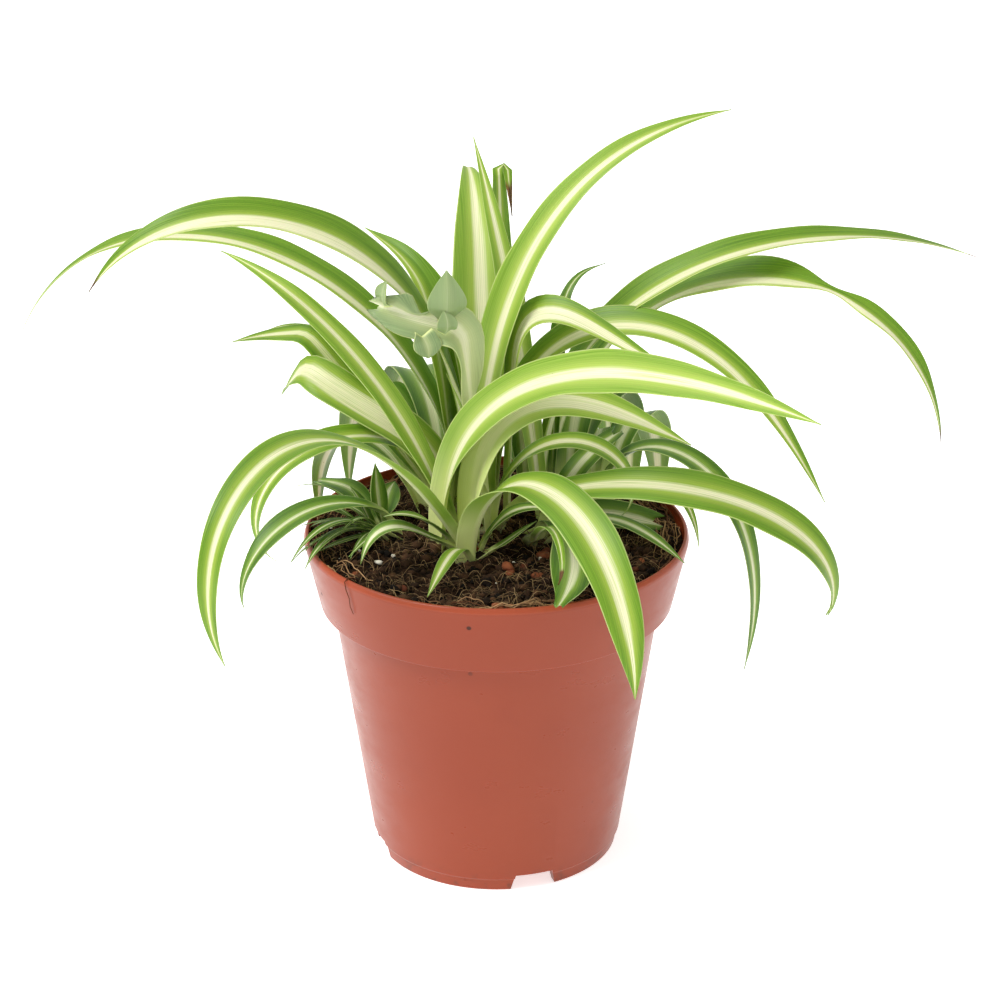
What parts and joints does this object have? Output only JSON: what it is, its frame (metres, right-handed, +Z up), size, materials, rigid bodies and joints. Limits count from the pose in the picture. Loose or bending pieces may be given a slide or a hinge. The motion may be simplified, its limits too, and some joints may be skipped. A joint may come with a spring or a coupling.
{
  "type": "potted spider plant",
  "caption": "Spider plant with long arching cream-striped leaves, growing in soil in a plain terracotta-coloured plastic nursery pot",
  "frame": {"origin": "on the pot's axis at the floor that it stands on, which is also the bottom centre of the bounding box", "axes": "+Z up along the pot's axis, +X to the right and -Y to the front as in the picture"},
  "size_m": [0.3078, 0.1896, 0.233],
  "materials": {
    "pot_plastic": "satin moulded plastic, terracotta coloured, with light scuffs and a few soil specks",
    "soil": "loose dark peat with coir fibres and bits of bark",
    "crown": "pale leaf bases where they meet at the soil",
    "leaf_green": "waxy leaf, mid green with a cream stripe down the middle and fine parallel veins",
    "leaf_bright": "waxy leaf, yellow-green with a broad cream stripe and fine parallel veins",
    "leaf_dark": "waxy leaf, deep green with a narrow cream stripe and grey-green underside",
    "leaf_pale": "waxy leaf, mostly cream and pale grey-green"
  },
  "bodies": {
    "root": {"crown_far_right": "crown", "crown_front": "crown", "crown_middle": "crown", "crown_rear_left": "crown", "crown_rear_right": "crown", "crown_right": "crown", "leaf_back_1": "leaf_green", "leaf_back_2": "leaf_green", "leaf_back_3": "leaf_green", "leaf_back_4": "leaf_green", "leaf_back_5": "leaf_green", "leaf_back_6": "leaf_green", "leaf_back_7": "leaf_green", "leaf_back_8": "leaf_green", "leaf_crumpled": "leaf_pale", "leaf_far_right_hanging": "leaf_dark", "leaf_far_right_tip": "leaf_green", "leaf_front_hanging": "leaf_green", "leaf_front_left_arch": "leaf_green", "leaf_front_left_short_1": "leaf_dark", "leaf_front_left_short_2": "leaf_dark", "leaf_front_right_brown": "leaf_green", "leaf_front_right_low_1": "leaf_dark", "leaf_front_right_low_2": "leaf_dark", "leaf_front_right_short": "leaf_dark", "leaf_front_short": "leaf_green", "leaf_left_bright": "leaf_bright", "leaf_left_creased": "leaf_green", "leaf_left_curled": "leaf_green", "leaf_left_high": "leaf_green", "leaf_left_long": "leaf_green", "leaf_left_low": "leaf_green", "leaf_left_sliver": "leaf_green", "leaf_left_wavy": "leaf_green", "leaf_middle_dark_arch": "leaf_dark", "leaf_middle_small": "leaf_bright", "leaf_rear_narrow": "leaf_dark", "leaf_right_arch": "leaf_green", "leaf_right_broad": "leaf_bright", "leaf_right_cream": "leaf_pale", "leaf_right_curled": "leaf_green", "leaf_right_drooping": "leaf_dark", "leaf_right_long": "leaf_green", "leaf_right_low": "leaf_green", "leaf_right_pale": "leaf_bright", "leaf_right_short": "leaf_green", "leaf_right_torn": "leaf_green", "leaf_right_torn_upright": "leaf_green", "leaf_tall_right": "leaf_bright", "leaf_upright_broad": "leaf_bright", "leaf_upright_brown_tip": "leaf_dark", "leaf_upright_pointed": "leaf_bright", "leaf_upright_short": "leaf_green", "plantlet_left": "leaf_green", "pot": "pot_plastic", "soil": "soil"}
  },
  "joints": []
}
